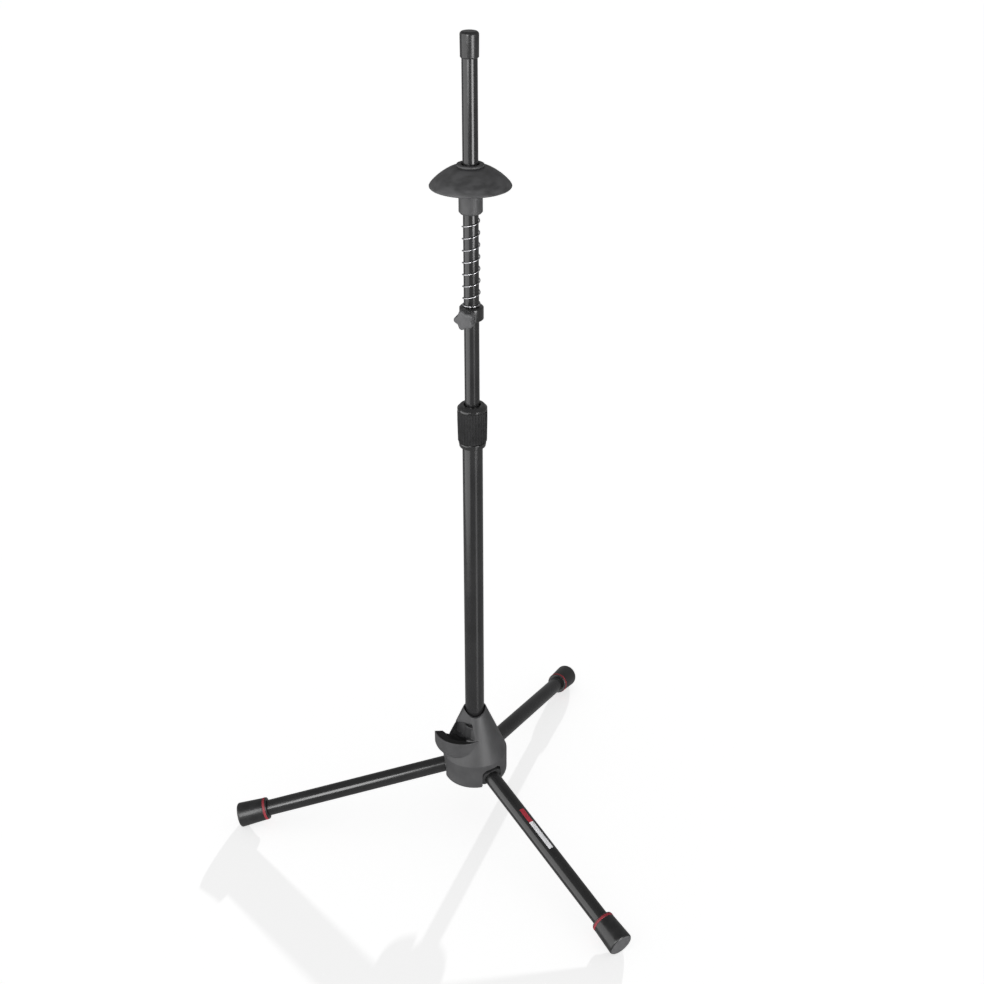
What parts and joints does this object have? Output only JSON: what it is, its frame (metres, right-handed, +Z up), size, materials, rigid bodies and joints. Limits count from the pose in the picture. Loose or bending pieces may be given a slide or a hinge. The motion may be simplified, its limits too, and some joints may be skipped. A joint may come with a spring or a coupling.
{
  "type": "folding trombone stand",
  "caption": "Folding floor stand for a brass instrument, with a sprung rubber bell rest, telescopic mast with twist lock, slide hook and fold-down tripod legs.",
  "frame": {"origin": "on the floor, on the centre line of the mast, midway between the three feet", "axes": "+Z up the mast; -X along the left leg; -Y towards the viewer"},
  "size_m": [0.434, 0.4982, 0.937],
  "materials": {
    "black_enamel": "gloss black enamel on steel tube",
    "black_rubber": "matte moulded rubber",
    "grey_rubber": "matte dark grey moulded rubber",
    "grey_plastic": "satin dark grey moulded plastic",
    "dark_plastic": "satin near-black moulded plastic",
    "light_plastic": "satin light grey moulded plastic",
    "bright_steel": "bright steel",
    "red_rubber": "crimson rubber",
    "label_film": "thin printed film, plain red and white blocks"
  },
  "bodies": {
    "base": {"lower_tube": "black_enamel", "tube_plug": "grey_plastic", "lock_base": "black_enamel", "lock_collet": "light_plastic", "hub_body": "grey_plastic", "hook_liner": "black_rubber", "hub_base_plate": "grey_plastic", "hub_bolt": "bright_steel", "hinge_pins": "bright_steel"},
    "lock": {"lock_ring": "black_enamel", "lock_grip": "black_rubber", "lock_sleeve": "dark_plastic"},
    "rod": {"top_cap": "black_rubber", "upper_rod": "black_enamel", "rod_guide_bush": "grey_plastic"},
    "collar": {"clamp_collar": "black_enamel", "bell_spring": "bright_steel"},
    "knob": {"clamp_screw": "bright_steel", "star_knob": "grey_plastic"},
    "bell_rest": {"bell_dome": "grey_rubber", "dome_core": "dark_plastic", "dome_ring": "grey_rubber"},
    "leg_left": {"leg_left_knuckle": "light_plastic", "leg_left_tube": "black_enamel", "leg_left_foot": "black_rubber", "leg_left_foot_ring": "red_rubber"},
    "leg_front": {"leg_front_knuckle": "light_plastic", "leg_front_tube": "black_enamel", "leg_front_foot": "black_rubber", "leg_front_foot_ring": "red_rubber", "leg_label": "label_film"},
    "leg_back": {"leg_back_knuckle": "light_plastic", "leg_back_tube": "black_enamel", "leg_back_foot": "black_rubber", "leg_back_foot_ring": "red_rubber"}
  },
  "joints": [
    {"name": "lock_twist", "type": "hinge", "parent": "base", "child": "lock", "pos_m": [0, 0, 0.515], "axis": [0, 0, 1], "range_deg": [0, 90]},
    {"name": "height_slide", "type": "slide", "parent": "base", "child": "rod", "axis": [0, 0, 1], "range_m": [-0.06, 0.035]},
    {"name": "collar_slide", "type": "slide", "parent": "rod", "child": "collar", "axis": [0, 0, 1], "range_m": [-0.03, 0.06]},
    {"name": "knob_turn", "type": "hinge", "parent": "collar", "child": "knob", "pos_m": [0, 0, 0.6455], "axis": [-0.3746, -0.9272, 0], "range_deg": [0, 720]},
    {"name": "bell_rest_slide", "type": "slide", "parent": "collar", "child": "bell_rest", "axis": [0, 0, 1], "range_m": [-0.045, 0], "stiffness_N_per_m": 400, "springref_m": 0.006, "deforming": ["bell_spring"]},
    {"name": "leg_left_fold", "type": "hinge", "parent": "base", "child": "leg_left", "pos_m": [-0.021, 0, 0.07401], "axis": [0, -1, 0], "range_deg": [0, 76.6]},
    {"name": "leg_front_fold", "type": "hinge", "parent": "base", "child": "leg_front", "pos_m": [0.0105, -0.01819, 0.07401], "axis": [0.866, 0.5, 0], "range_deg": [0, 76.6]},
    {"name": "leg_back_fold", "type": "hinge", "parent": "base", "child": "leg_back", "pos_m": [0.0105, 0.01819, 0.07401], "axis": [-0.866, 0.5, 0], "range_deg": [0, 76.6]}
  ]
}
